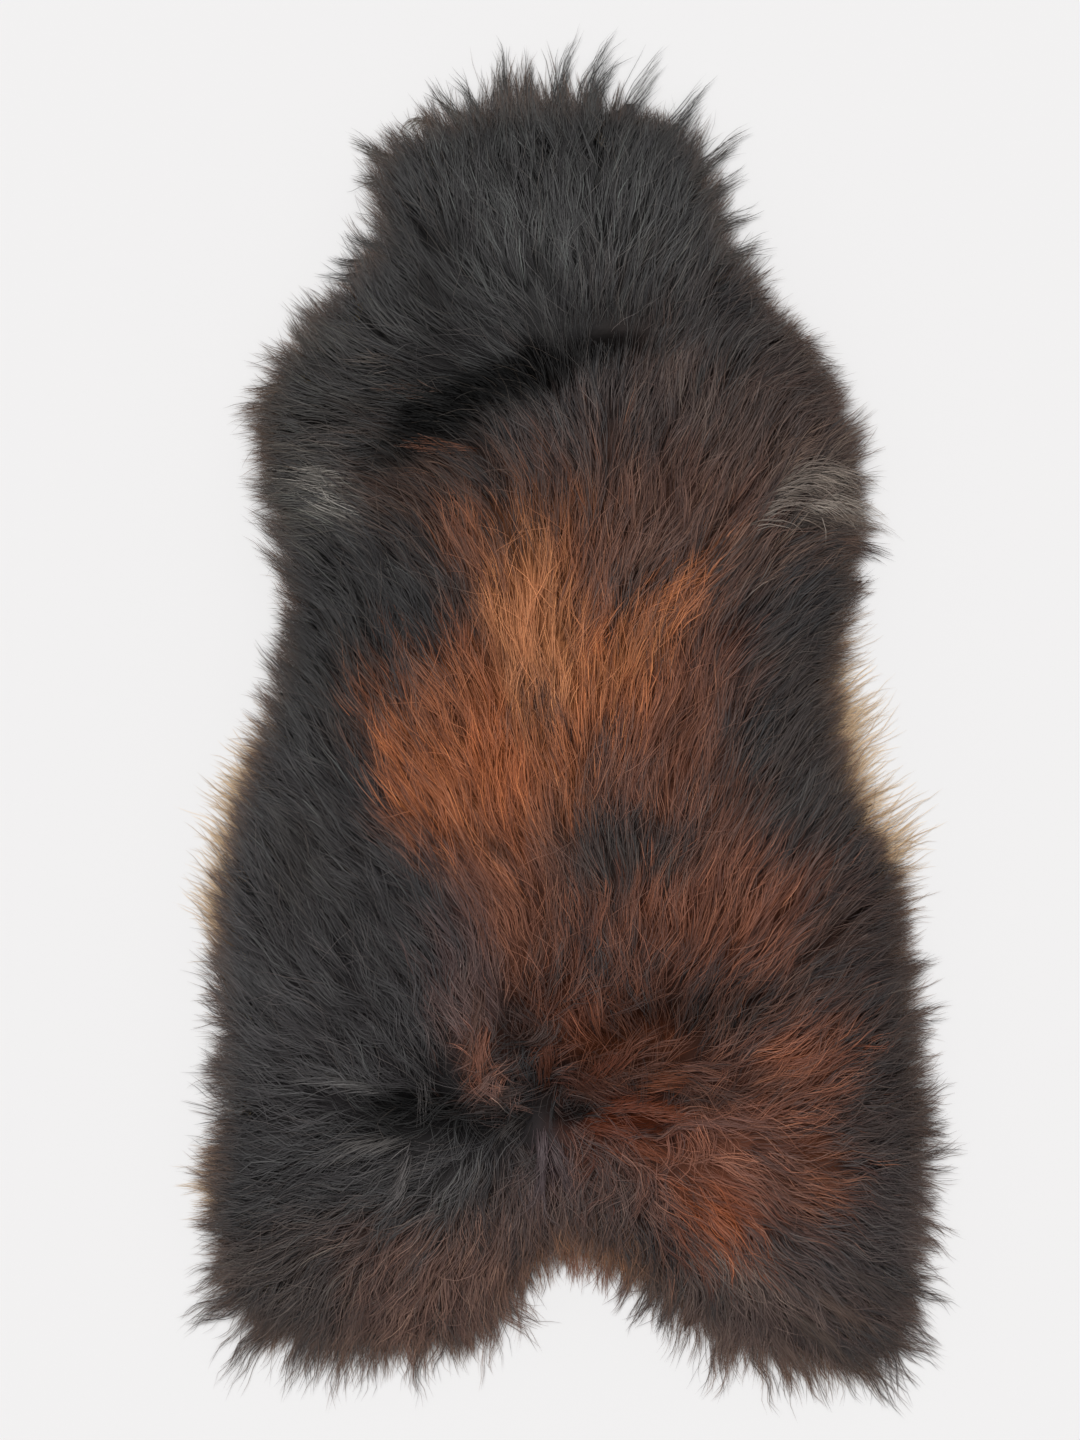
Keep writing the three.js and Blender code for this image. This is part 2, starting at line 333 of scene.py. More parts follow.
def clouds(x, y, size, seed):
    """Soft random clouds from -1 to 1, each about as wide as size."""
    lattice = np.random.default_rng(seed).uniform(-1, 1, (CLOUD_CELLS, CLOUD_CELLS))
    column, row = x / size + CLOUD_MIDDLE, y / size + CLOUD_MIDDLE
    i, j = np.floor(column).astype(int), np.floor(row).astype(int)
    u, v = column - i, row - j
    u, v = u * u * (3 - 2 * u), v * v * (3 - 2 * v)
    return between_corners(lattice, i % (CLOUD_CELLS - 1), j % (CLOUD_CELLS - 1), u, v)


def pushed(value, x, y, pushes):
    """A value pushed about by clouds, each of them how far at most, its size and its seed."""
    for most, size, seed in pushes:
        value = value + most * clouds(x, y, size, seed)
    return value


def combed():
    """The lie over the whole grid, as the cosine and sine of its heading, turned outward at the rim."""
    table = np.array(LIE, float)[::-1]
    warped_x = pushed(mesh_x, mesh_x, mesh_y, LIE_WARP_X)
    warped_y = pushed(mesh_y, mesh_x, mesh_y, LIE_WARP_Y)
    place = (warped_x / MM - LIE_ACROSS[0]) / (LIE_ACROSS[1] - LIE_ACROSS[0])
    place = np.clip(place, 0, len(LIE_ACROSS) - GRID_END)
    spot = place.astype(int)
    share = place - spot
    outward = np.array(np.gradient(blurred(past_rim, 6)))[::-1]
    outward /= np.linalg.norm(outward, axis=0) + 1e-9
    outward *= OUTWARD * np.exp(np.minimum(past_rim, 0) / OUTWARD_REACH)
    parts = []
    for turned, out in zip((np.cos, np.sin), outward):
        columns = [np.interp(warped_y / MM, table[:, 0], turned(np.radians(headings)))
                   for headings in table[:, 1:].T]
        left = np.choose(spot, columns)
        right = np.choose(spot + 1, columns)
        parts.append(blurred(left * (1 - share) + right * share + out, 1))
    return parts


lie_cosine, lie_sine = combed()


def lie_of_wool(x, y):
    """The way that the wool lies at each point, in radians from +x."""
    heading = np.arctan2(read_grid(lie_sine, x, y), read_grid(lie_cosine, x, y))
    return heading + np.radians(pushed(0, x, y, SWAYS))


# Colours of the wool
# Undyed wool of one animal: charcoal, with orange-brown and rust where the sun has bleached
# it. Each patch is an oval that fades out, placed one by one. Over 1, a strength has a full core.

WOOL_BASE = "#333132"
OVAL_FADE = 0.8
LUCK_SHIFT = 1.25  # how far luck moves the edge of a patch

# Pushes in mm, so that no patch or painted shade is a neat oval
PATCH_WARP_X = ((12, 34 * MM, 21), (5, 12 * MM, 22))
PATCH_WARP_Y = ((12, 34 * MM, 23), (5, 12 * MM, 24))
SHADE_WARP_X = ((7, 26 * MM, 25),)
SHADE_WARP_Y = ((7, 26 * MM, 26),)

PATCHES = (
    # part, x mm, y mm, half width mm, half length mm, turn degrees, colour, strength
    ("left flank", -205, -190, 90, 170, 0, "#3d3a3b", 0.9),
    ("left flank, upper", -214, -112, 40, 50, 0, "#302c2b", 0.7),
    ("left waist", -200, 60, 56, 80, 0, "#2b2929", 0.8),
    # paler grey over the neck: partly the wool's own grey and partly painted sheen where its hair lies flat
    ("neck", -4, 415, 150, 105, 0, "#484747", 1),
    ("end of neck", -38, 508, 130, 48, 0, "#2b2a2a", 1),
    ("left of neck", -128, 400, 36, 75, 10, "#2e2c2c", 0.9),
    ("left shoulder", -223, 272, 85, 92, 0, "#393634", 0.8),
    ("left shoulder rim", -292, 245, 26, 80, 0, "#4a3a2f", 0.8),
    ("left grey", -205, 188, 54, 30, 20, "#5e5a55", 0.45),
    ("right shoulder", 150, 268, 100, 90, 0, "#523f38", 1.1),
    ("above the right shoulder", 130, 328, 62, 32, -20, "#3b3838", 1),
    ("right shoulder rim", 228, 322, 46, 52, 0, "#3a3230", 0.8),
    ("right grey", 226, 190, 48, 34, -20, "#6a5f57", 0.5),
    ("below the right shoulder", 190, 142, 70, 24, 0, "#5b453b", 0.9),
    ("withers", 21, 240, 92, 46, 0, "#463c3a", 1),
    ("left brown", -108, 196, 66, 40, -20, "#49362e", 0.95),
    ("brown fan", 60, 182, 112, 44, 0, "#63473d", 1.1),
    ("rust fan", -14, 150, 52, 40, 0, "#70452f", 0.9),
    ("orange fan", -56, 110, 24, 58, 35, "#86523a", 1),
    ("rust right of the spine", 6, 112, 20, 40, -8, "#8c553a", 1.2),
    ("right rust", 112, 42, 48, 54, -30, "#704738", 0.95),
    ("middle orange", -34, -44, 50, 76, 0, "#995a38", 1.2),
    ("left orange", -104, -46, 40, 68, 30, "#9f5d3a", 1.15),
    ("orange below the fork", 32, 40, 42, 38, 0, "#c06f43", 1.6),
    ("right of the orange fork", 68, 4, 26, 24, 0, "#a35e3c", 1),
    ("orange glow", -30, 80, 36, 62, 4, "#a56a44", 1.3),
    ("orange spine", -31, 86, 22, 46, 4, "#bd7c53", 1.6),
    ("dark wedge", 36, 134, 11, 28, -15, "#7d5342", 0.6),
    ("orange fork", 52, 56, 24, 56, -50, "#a06440", 1.15),
    ("curved orange lock", 90, 108, 14, 44, -50, "#a0613f", 1.1),
    ("orange between", -66, -16, 19, 88, 10, "#a8603a", 1.25),
    ("rust below", -75, -144, 29, 54, 6, "#855038", 1.2),
    ("left wedge", -92, 104, 20, 36, 25, "#3d3330", 1),
    ("below the wedge", -98, 38, 44, 26, 20, "#92583b", 1.1),
    # painted shade: a dark patch in a small hollow
    ("small hollow", -20, 18, 12, 14, 0, "#4a2c1f", 0.9),
    ("right loin", 88, -28, 54, 50, 0, "#744836", 1),
    ("rust at the right", 132, -68, 34, 26, 0, "#774a38", 0.8),
    ("spine streak", -29, -160, 30, 70, 0, "#7b4e3c", 1.1),
    ("plum streak", -94, -175, 24, 52, 0, "#484042", 0.8),
    ("dark right side", 208, -10, 58, 96, 0, "#413835", 1),
    ("right flank", 118, -162, 112, 62, -10, "#7a4a37", 1.1),
    ("dark loin", 44, -108, 60, 28, 0, "#3f3836", 1),
    # painted shade: a dark band under the flank
    ("under the flank", 104, -246, 80, 15, 12, "#2a2320", 0.9),
    ("right flank rim", 236, -190, 44, 60, 0, "#45342e", 0.8),
    ("rump", 50, -268, 60, 38, 10, "#542c1a", 1.1),
    ("right haunch", 150, -356, 104, 70, 0, "#7e4f3e", 1.1),
    ("bright haunch", 200, -290, 40, 46, 0, "#86503a", 1),
    ("deep rust", 50, -332, 44, 17, -8, "#5a2814", 1),
    ("rusty swirl", -14, -240, 36, 30, 0, "#6b3b28", 1.1),
    ("brown above the tuft", -82, -232, 26, 46, 4, "#5f4945", 1.15),
    ("right hip", 128, -422, 32, 34, 40, "#8f4a28", 0.9),
    ("right rim", 288, -270, 34, 190, 0, "#392f2d", 0.9),
    ("low right", 258, -406, 66, 62, 0, "#4a4140", 1),
    ("haunch edge", 212, -368, 24, 42, 0, "#744530", 0.9),
    ("beside the haunch", 262, -316, 24, 44, 0, "#3b302d", 0.9),
    ("below the hip", 138, -478, 46, 24, 30, "#6b5a53", 0.9),
    ("orange tuft", -69, -284, 15, 24, -20, "#84503c", 1),
    ("rosy tuft", -60, -310, 13, 12, 0, "#8f6a60", 1),
    ("plum tuft", -14, -376, 14, 34, 0, "#5e5053", 0.9),
    ("tail", 2, -412, 62, 46, 0, "#594742", 1),
    ("rust above the tail", 16, -366, 24, 24, 0, "#64443a", 0.9),
    ("grey waves", -130, -388, 46, 40, 0, "#474444", 0.9),
    ("left tail", -122, -474, 104, 50, 0, "#6c5046", 1.1),
    ("left of tail", -240, -478, 62, 52, 0, "#483f3c", 0.9),
    ("tail notch", 24, -462, 48, 24, 0, "#80583f", 0.9),
    ("right tail", 170, -508, 96, 38, 0, "#5c4b46", 1),
)


# Painted shade: where the wool parts at its creases and hollows, its colour is darkened for the shade down
# at its roots
PAINTED_SHADE_HOLLOWS = (
    # where, x mm, y mm, half width mm, half length mm, turn degrees, how dark
    ("neck crease", 30, 313, 50, 12, 6, 0.75),
    ("neck crease, middle", -38, 289, 60, 26, 20, 0.96),
    ("neck crease, left", -98, 261, 62, 33, 30, 0.97),
    ("crease end", -144, 230, 42, 22, 46, 0.75),
    ("left hollow", -112, -328, 66, 24, 0, 0.8),
    ("left hollow edge", -150, -310, 30, 12, -20, 0.5),
    ("right hollow", 7, -322, 22, 15, 0, 0.9),
    ("right of the hollow", 84, -313, 78, 10, 4, 0.5),
    ("above the haunch", 118, -296, 110, 18, 0, 0.36),
    ("beside the orange tuft", -40, -254, 20, 26, 0, 0.65),
    ("above the orange tuft", -20, -222, 24, 20, 0, 0.45),
    ("under the flank", 110, -234, 76, 11, 12, 0.35),
    ("small hollow", -58, -106, 8, 12, 20, 0.5),
)


def ovals(x, y, centre_x, centre_y, wide, long, turn):
    """How near each point is to the middle of an oval: 1 within it, 0 well outside."""
    cosine, sine = np.cos(np.radians(turn)), np.sin(np.radians(turn))
    across = ((x - centre_x) * cosine + (y - centre_y) * sine) / wide
    along = ((y - centre_y) * cosine - (x - centre_x) * sine) / long
    return np.exp(-OVAL_FADE * (across ** 2 + along ** 2) ** 1.5)


def root_shade(x, y):
    """How much of its tone the wool keeps under the painted shade of the creases and hollows."""
    warped_x = pushed(x / MM, x, y, SHADE_WARP_X)
    warped_y = pushed(y / MM, x, y, SHADE_WARP_Y)
    kept = np.ones(np.shape(x))
    for _, centre_x, centre_y, wide, long, turn, dark in PAINTED_SHADE_HOLLOWS:
        inside = ovals(warped_x, warped_y, centre_x, centre_y, wide, long, turn)
        kept = kept * (1 - dark * inside ** 2 * (3 - 2 * inside))
    return kept


def stained(tones, hex_colour, share):
    """Linear tones with this share of a hex colour in them."""
    return tones * (1 - share) + np.array(linear(hex_colour)) * share


def wool_colours(x, y, luck):
    """The colour of the coat at each point. luck, from 0 to 1, is how far a strand goes with its patch."""
    warped_x = pushed(x / MM, x, y, PATCH_WARP_X)
    warped_y = pushed(y / MM, x, y, PATCH_WARP_Y)
    colour = np.broadcast_to(linear(WOOL_BASE), (*x.shape, 3)).copy()
    for _, centre_x, centre_y, wide, long, turn, tone, strength in PATCHES:
        share = strength * ovals(warped_x, warped_y, centre_x, centre_y, wide, long, turn)
        share = np.clip(share + LUCK_SHIFT * (luck - 0.5) * np.sqrt(share), 0, 1)[..., None]
        colour = stained(colour, tone, share)
    return colour


# Strands
# Wool hair, as ribbons that taper to a point. Each is a few hairs wide, because single
# hairs are too fine to model, and each has its own cell of the map that a bake is laid on.

TIP_NARROWING = 0.7
OFF_FLOOR = 0.15 * MM
CELL_SIDES = (0.25, 0.75)  # where a ribbon lies in its cell
CELL_ROOT = 0.1
CELL_LONG = 0.8


def colour_points(mesh, tones):
    """The mesh's points given their colours, for the materials to read."""
    colour = np.concatenate([tones, np.ones((*tones.shape[:-1], 1))], -1)
    shade = mesh.attributes.new("wool_colour", "FLOAT_COLOR", "POINT")
    shade.data.foreach_set("color", colour.astype(np.float32).ravel())


def ribbons(name, middle, width, roll, tones):
    """One mesh of many ribbons. middle and tones hold each ribbon's points and colours from root to tip."""
    count, steps = middle.shape[0], middle.shape[1] - 1
    ahead = np.gradient(middle, axis=1)
    ahead /= np.linalg.norm(ahead, axis=2, keepdims=True) + 1e-12
    across = np.stack([ahead[..., 1], -ahead[..., 0], np.zeros(ahead.shape[:2])], 2)
    across /= np.linalg.norm(across, axis=2, keepdims=True) + 1e-9
    up = np.cross(across, ahead)
    side = across * np.cos(roll)[:, None, None] + up * np.sin(roll)[:, None, None]
    along = np.linspace(0, 1, steps + 1)
    taper = 1 - TIP_NARROWING * along ** 1.8
    half = side * (width[:, None] * taper / 2)[..., None]

    rails = np.stack([middle[:, :-1] - half[:, :-1], middle[:, :-1] + half[:, :-1]], 2)
    points = np.concatenate([rails.reshape(count, 2 * steps, 3), middle[:, -1:]], 1)
    points[..., 2] = np.maximum(points[..., 2], OFF_FLOOR)
    per_strand = 2 * steps + 1

    quads = [(2 * k, 2 * k + 1, 2 * k + 3, 2 * k + 2) for k in range(steps - 1)]
    tip = (2 * steps - 2, 2 * steps - 1, 2 * steps)
    pattern = np.concatenate([*quads, tip])
    corners = (np.arange(count)[:, None] * per_strand + pattern).ravel().astype(np.int32)
    sizes = np.tile(np.array([4] * (steps - 1) + [3], np.int32), count)
    starts = np.concatenate([[0], np.cumsum(sizes)[:-1]]).astype(np.int32)

    mesh = bpy.data.meshes.new(name)
    mesh.vertices.add(count * per_strand)
    mesh.vertices.foreach_set("co", points.astype(np.float32).ravel())
    mesh.loops.add(len(corners))
    mesh.loops.foreach_set("vertex_index", corners)
    mesh.polygons.add(len(sizes))
    mesh.polygons.foreach_set("loop_start", starts)
    mesh.polygons.foreach_set("loop_total", sizes)
    mesh.polygons.foreach_set("use_smooth", np.ones(len(sizes), bool))
    mesh.update(calc_edges=True)
    colour_points(mesh, np.concatenate([np.repeat(tones[:, :-1], 2, axis=1), tones[:, -1:]], 1))

    cells = int(np.ceil(np.sqrt(count)))
    cell = np.stack([np.arange(count) % cells, np.arange(count) // cells], 1)
    place = np.append(np.repeat(along[:-1], 2), 1)
    inside = np.stack([np.append(np.tile(CELL_SIDES, steps), 0.5), CELL_ROOT + CELL_LONG * place], 1)
    spots = (cell[:, None] + inside[pattern]) / cells
    flat_map = mesh.uv_layers.new(name="OFBake")
    flat_map.data.foreach_set("uv", spots.astype(np.float32).ravel())
    return new_object(name, mesh)


def long_wool():
    """Long undyed wool: smooth hairs with a soft gloss, but hardly any gloss down at the roots, where
    painted shade makes the colour darkest.
    """
    wool = new_material("long_wool")
    tone = add_node(wool, "ShaderNodeAttribute", {"attribute_name": "wool_colour"})
    # the gloss fades with the colour's darkness, so that painted shade takes little gloss
    gloss = add_node(wool, "ShaderNodeMapRange", {"From Max": 0.02, "To Min": 0.14, "To Max": 0.35},
                     {"Value": (tone, "Fac")})
    shader = add_node(wool, "ShaderNodeBsdfPrincipled", {"Roughness": 0.55, "IOR": 1.5},
                      {"Base Color": (tone, "Color"), "Specular IOR Level": (gloss, "Result")})
    add_node(wool, "ShaderNodeOutputMaterial", links={"Surface": (shader, "BSDF")})
    return wool


wool_material = long_wool()


# Undercoat
# The short soft wool close to the skin. It is a felted bed that the long locks grow
# through, and takes the colour of the wool above it, darkened as painted shade under the locks.

BED_VOXEL = 9 * MM
BED_SIZE = (0.93, 0.95, 0.76)  # of the fleece's, so that it stays under the locks
BED_FOOT = 3 * MM  # the height that its size is kept from
# painted shade: how much of the wool's colour the bed keeps under the locks
BED_SHADE = 0.65
BED_MOTTLE = 14 * MM
BED_FLUFF = 2.5 * MM

bed = copy_of_node("fleece", "undercoat_bed")
remesh = bed.modifiers.new("felted", "REMESH")
remesh.mode = "VOXEL"
remesh.voxel_size = BED_VOXEL
bpy.ops.object.modifier_apply(modifier="felted")
in_edit_mode(bpy.ops.transform.resize, value=BED_SIZE, center_override=(0, 0, low.z + BED_FOOT))


def felted_undercoat():
    """Felted undercoat: matt crimped down with no gloss, mottled where the wool parts."""
    down = new_material("felted_undercoat")
    tone = add_node(down, "ShaderNodeAttribute", {"attribute_name": "wool_colour"})
    place = add_node(down, "ShaderNodeTexCoord")
    mottle = add_node(down, "ShaderNodeTexNoise", {"Scale": 1 / BED_MOTTLE, "Detail": 6.0, "Roughness": 0.7},
                      {"Vector": (place, "Object")})
    fluff = add_node(down, "ShaderNodeBump", {"Strength": 0.8, "Distance": BED_FLUFF},
                     {"Height": (mottle, "Fac")})
    shader = add_node(down, "ShaderNodeBsdfPrincipled", {"Roughness": 1.0, "Specular IOR Level": 0.1},
                      {"Base Color": (tone, "Color"), "Normal": (fluff, "Normal")})
    add_node(down, "ShaderNodeOutputMaterial", links={"Surface": (shader, "BSDF")})
    return down


bed_points = np.zeros(3 * len(bed.data.vertices), np.float32)
bed.data.vertices.foreach_get("co", bed_points)
bed_x, bed_y, _ = bed_points.reshape(-1, 3).T
# the bed's colour is darkened as painted shade under the locks and at the creases and hollows
bed_tones = wool_colours(bed_x, bed_y, luck=0.5) * BED_SHADE * root_shade(bed_x, bed_y)[:, None]
colour_points(bed.data, bed_tones)
bed.data.materials.append(felted_undercoat())
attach(bed, "root")
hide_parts("fleece")


# Coat
# The outer coat: wavy locks of long hair that grow out of the bed and lie over one
# another. They are grown over the whole back and then parted in five pieces.

CREAM_PLACES = (
    # where, x mm, y mm, half width mm, half length mm, how creamy
    ("right waist", 262, -20, 60, 116, 1.3),
    ("left waist", -284, -92, 60, 128, 0.8),
    ("left haunch", -312, -380, 50, 44, 0.7),
    ("tail notch", 30, -470, 40, 26, 0.6),
    ("left leg", -110, -560, 110, 40, 0.45),
    ("right leg", 190, -560, 80, 36, 0.5),
)
LONG_PLACES = (
    # where, x mm, y mm, half width mm, half length mm, how much further its wool reaches in mm
    ("right of the neck", 158, 430, 36, 34, 14),
    ("right of the neck, low", 176, 380, 50, 40, 4),
    ("left shoulder", -245, 320, 70, 100, 5),
    ("right shoulder", 262, 150, 40, 50, 6),
    ("right waist", 256, -20, 50, 110, 12),
    ("neck end, right", 72, 500, 46, 44, -30),
    ("neck end, left", -108, 498, 44, 40, -10),
    ("neck end, middle", -20, 534, 44, 32, -22),
    ("left shoulder rim", -268, 228, 24, 24, 20),
    ("left shoulder, low", -254, 182, 30, 30, -15),
    ("right waist, top", 236, 34, 24, 26, 10),
    ("right flank, top", 292, -158, 24, 30, 6),
    ("right flank", 300, -210, 70, 190, 12),
    ("right rim, low", 305, -390, 40, 120, 6),
    ("left haunch", -300, -380, 70, 130, 6),
    ("left flank rim", -300, -276, 24, 24, 9),
    ("left leg rim", -304, -436, 24, 22, 8),
    ("left leg tip", -256, -536, 34, 34, 14),
    ("left leg", -200, -540, 130, 70, 25),
    ("left of the notch", -44, -490, 44, 40, 2),
    ("top of the notch", 10, -450, 40, 24, 12),
    ("right leg", 200, -550, 90, 40, 6),
    ("right leg, inner", 118, -524, 46, 34, 25),
    ("right leg tip", 236, -560, 30, 24, 8),
    ("right of the notch", 60, -484, 60, 44, 14),
)
WORN_TIP = "#8c6b55"
SUN_BLEACH = (0.9, 1.0, 0.93)  # a paler hair is yellower, as red, green and blue powers

# Where tufts point every way, locks are wavy and the tone is even, as in the last five columns above
TOUSLED_PLACES = ((-8, -296, 88, 46, 1), (60, -336, 66, 26, 0.75))
WAVY_PLACES = ((-150, -330, 90, 90, 1), (120, -350, 110, 70, 0.9))
SLEEK_PLACES = ((-27, 66, 36, 58, 0.6),)

LOCK_SPACING = 7.8 * MM
TUFT_SPACING = 27 * MM
ROW_SPACING = 0.87  # of the spacing along a row
JITTER = 0.42  # of the spacing, each way
ENDS_FROM = 430  # mm from the middle
ENDS_FADE = 60

LOCK_STEPS = 6
LOCK_STRANDS = 7
RIM_STRANDS = 11
RIM_SHARE = 0.35  # how near the rim a lock has RIM_STRANDS
RIM_FADE = 20 * MM
LOCK_LENGTH = 76 * MM
LOCK_WIDE = 5.4 * MM
STRAND_WIDE = 0.62 * MM
LONGER_AT_ENDS = 0.2
SHORTER_TOUSLED = 0.35
SHORTEST_LOCK = 16 * MM
CUT_BACK = 1.05  # of what a lock's tip is too far past the rim

TURN_GIVE = 0.6  # how soon a lock takes up the lie of the wool
CURL_CROSSING = 0.3  # how far along itself a curled lock crosses its lie
CURL = 26  # degrees
CURL_SHARED = 0.8  # of it with the locks about it
CURL_OWN = 0.5
STRAY = 7 * MM
STRAY_TOUSLED = 0.8

# In degrees, on calm wool and what tousled wool adds
TUFT_TURN = (8, 77)
LOCK_TURN = (5, 20)
CURL_TOUSLED = 50

# In mm past the rim
REACH = 30
REACH_AT_ENDS = 20
CREAM_SHORTENS = 0.45

# How far a lock leans to the middle of its tuft, and more at the rim and the ends
LEAN = 0.24
LEAN_AT_RIM = 0.06
LEAN_AT_ENDS = 0.45

# How far the crimp swings in mm, and more on the rump and at the wavy places
CRIMP = 0.9
CRIMP_RUMP = 1.3
CRIMP_WAVY = 1.6
RUMP_FROM = 150
RUMP_FADE = 120
CRIMP_LONG = 46 * MM

TUFT_DOME = 3 * MM
TUFT_DOME_WIDE = 15 * MM
LOCK_LIFT = 1.2 * MM
LOCK_DOME = 1.9 * MM
ARCH_FROM = 0.15  # how far up its arch a lock starts
ARCH_LONG = 0.8
SINK = (-2.6, 1.2)  # mm that a strand's tip is over its lock
UNEVEN = 0.8  # mm
THIN_WOOL = 30 * MM  # lower wool lies flatter
FLATTEST = 0.15
LOWEST = 0.6 * MM
GATHERED = 0.55  # how much narrower a lock is at its tip
LONGEST_STRAND = 1.06  # of its lock
FRIZZ = 0.4 * MM
LOOSE_STRANDS = 0.26  # the share of strands that splay
LOOSE_SPLAY = 9
OTHER_SPLAY = 2.2
ROUND_ROLL = -42  # degrees that a strand at a lock's side is turned
ROLL_VARIES = 12
STRAND_WIDTHS = (0.65, 1.3)  # of STRAND_WIDE

draw = np.random.default_rng(5)


def scattered(spacing, most, least=-np.inf):
    """Jittered points about spacing apart, from least to most past the rim."""
    columns = np.arange(low.x, high.x, spacing)
    rows = np.arange(low.y, high.y, spacing * ROW_SPACING)
    x, y = np.meshgrid(columns, rows)
    x = x + (np.arange(len(rows)) % 2)[:, None] * spacing / 2
    x = (x + draw.uniform(-JITTER, JITTER, x.shape) * spacing).ravel()
    y = (y + draw.uniform(-JITTER, JITTER, y.shape) * spacing).ravel()
    past = read_grid(past_rim, x, y)
    kept = (past > least) & (past < most)
    return x[kept], y[kept]


def at_ends(y):
    """From 0 along the sides to 1 over the neck's end and at the tail, where the wool is long."""
    neck = np.clip((y / MM - ENDS_FROM) / ENDS_FADE, 0, 1)
    return neck + np.clip((-y / MM - ENDS_FROM) / ENDS_FADE, 0, 1)


def spots(places, x, y, power=1):
    """Each place's last value at each point. It fades to 0 past its oval, faster at a higher power."""
    return [most * np.exp(-(((x / MM - centre_x) / wide) ** 2 + ((y / MM - centre_y) / long) ** 2) ** power)
            for *_, centre_x, centre_y, wide, long, most in places]


def creaminess(x, y):
    """How creamy the wool is, from 0, and over 1 in the middle of the right waist."""
    return sum(spots(CREAM_PLACES, x, y, 2))


def further(x, y):
    """How many mm further the wool reaches past the rim than it does all round."""
    return sum(spots(LONG_PLACES, x, y, 2))


def grown(root_x, root_y, length, curl, stray, turn):
    """The plan of locks that follow the lie, read stray away from each one and turned by turn."""
    paths = np.zeros((len(root_x), LOCK_STEPS + 1, 2))
    paths[:, 0] = np.stack([root_x, root_y], 1)
    heading = lie_of_wool(root_x, root_y + stray) + turn
    for step in range(LOCK_STEPS):
        here = paths[:, step]
        curled = curl * (step / LOCK_STEPS - CURL_CROSSING)
        wanted = lie_of_wool(here[:, 0], here[:, 1] + stray) + turn + curled
        heading = heading + TURN_GIVE * np.angle(np.exp(1j * (wanted - heading)))
        ahead = np.stack([np.cos(heading), np.sin(heading)], 1)
        paths[:, step + 1] = here + (length / LOCK_STEPS)[:, None] * ahead
    return paths


def kept_short(root_x, root_y, length, curl, stray, turn, allowed):
    """The plan of locks, each cut back until its tip is no further past the rim than it may be."""
    for _ in range(3):
        paths = grown(root_x, root_y, length, curl, stray, turn)
        past = read_grid(past_rim, paths[:, -1, 0], paths[:, -1, 1])
        length = np.maximum(length - np.maximum(past - allowed, 0) * CUT_BACK, SHORTEST_LOCK)
    return grown(root_x, root_y, length, curl, stray, turn)


def spun(paths, counts, wide, crimp, lift, shortest, slip=0.0):
    """The strands of some locks: a lock is round, and its strands come together towards its tip.

    Returns each strand's lock, its points, its width and its roll. slip is how far along the
    lock its strands may start, in steps.
    """
    wide, crimp, lift, shortest = (np.broadcast_to(v, len(paths)) for v in (wide, crimp, lift, shortest))
    share = np.linspace(0, 1, LOCK_STEPS + 1)
    lock = np.repeat(np.arange(len(paths)), counts)
    strands = len(lock)
    angle = draw.uniform(0, 2 * np.pi, strands)
    radius = np.sqrt(draw.uniform(0, 1, strands))
    offset = (wide[lock] * radius * np.array([np.cos(angle), np.sin(angle)])).T
    plan = paths[lock] + offset[:, None] * (1 - GATHERED * share ** 0.9)[None, :, None]
    own_length = draw.uniform(shortest[lock], LONGEST_STRAND)
    first_step = (paths[:, 1] - paths[:, 0])[lock][:, None]
    plan = plan + first_step * (slip * draw.uniform(-1, 1, strands))[:, None, None]
    plan = plan[:, :1] + (plan - plan[:, :1]) * own_length[:, None, None]
    ahead = np.gradient(plan, axis=1)
    travelled = np.cumsum(np.linalg.norm(ahead, axis=2), axis=1)
    ahead /= np.linalg.norm(ahead, axis=2, keepdims=True) + 1e-12
    across = np.stack([-ahead[..., 1], ahead[..., 0]], 2)

    # the crimp runs in step from lock to lock
    x, y = paths[:, 0].T
    wave_long = CRIMP_LONG * (1 + 0.25 * clouds(x, y, 60 * MM, 42))
    wave_start = 5 * clouds(x, y, 38 * MM, 43) + draw.normal(0, 0.7, len(paths))
    phase = 2 * np.pi * travelled / wave_long[lock][:, None] + wave_start[lock][:, None]
    wave = crimp[lock][:, None] * np.sin(phase)
    frizz = draw.normal(0, FRIZZ, (strands, LOCK_STEPS + 1)) * share
    loose = draw.normal(0, 1, strands)
    loose = loose * np.where(draw.uniform(0, 1, strands) < LOOSE_STRANDS, LOOSE_SPLAY, OTHER_SPLAY) * MM
    aside = wave - wave[:, :1] + frizz + loose[:, None] * share ** 1.5
    plan = plan + across * aside[..., None]

    # a strand rises out of the bed, arches over others and sinks among them, or not, at its tip
    surface = read_grid(wool_height, plan[..., 0], plan[..., 1])
    rise = np.interp(share, (0, 0.25, 0.55, 1), (0.45, 0.82, 0.98, 0.98))
    dome = LOCK_DOME * (1 - radius ** 2)
    arch = (dome + lift[lock])[:, None] * np.sin(np.pi * np.clip(share * ARCH_LONG + ARCH_FROM, 0, 1))
    sink = draw.uniform(*SINK, strands)[:, None] * MM * share
    near_floor = np.clip(surface / THIN_WOOL, FLATTEST, 1)
    height = surface * rise + (arch + sink) * near_floor
    height = height + draw.uniform(0, UNEVEN, strands)[:, None] * MM
    middle = np.concatenate([plan, np.maximum(height, LOWEST)[..., None]], 2)

    # a strand at a lock's side is turned to that side, so that the lock takes the light as a round one
    side = np.sum(offset * across[:, 1], axis=1) / wide[lock]
    roll = np.radians(ROUND_ROLL * side + draw.normal(0, ROLL_VARIES, strands))
    width = STRAND_WIDE * draw.uniform(*STRAND_WIDTHS, strands)
    return lock, middle, width, roll


def wool_piece(name, middle, width, roll, tones):
    """A finished piece of wool."""
    piece = ribbons(name, middle, width, roll, tones)
    piece.data.materials.append(wool_material)
    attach(piece, "root")
    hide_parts("fleece")


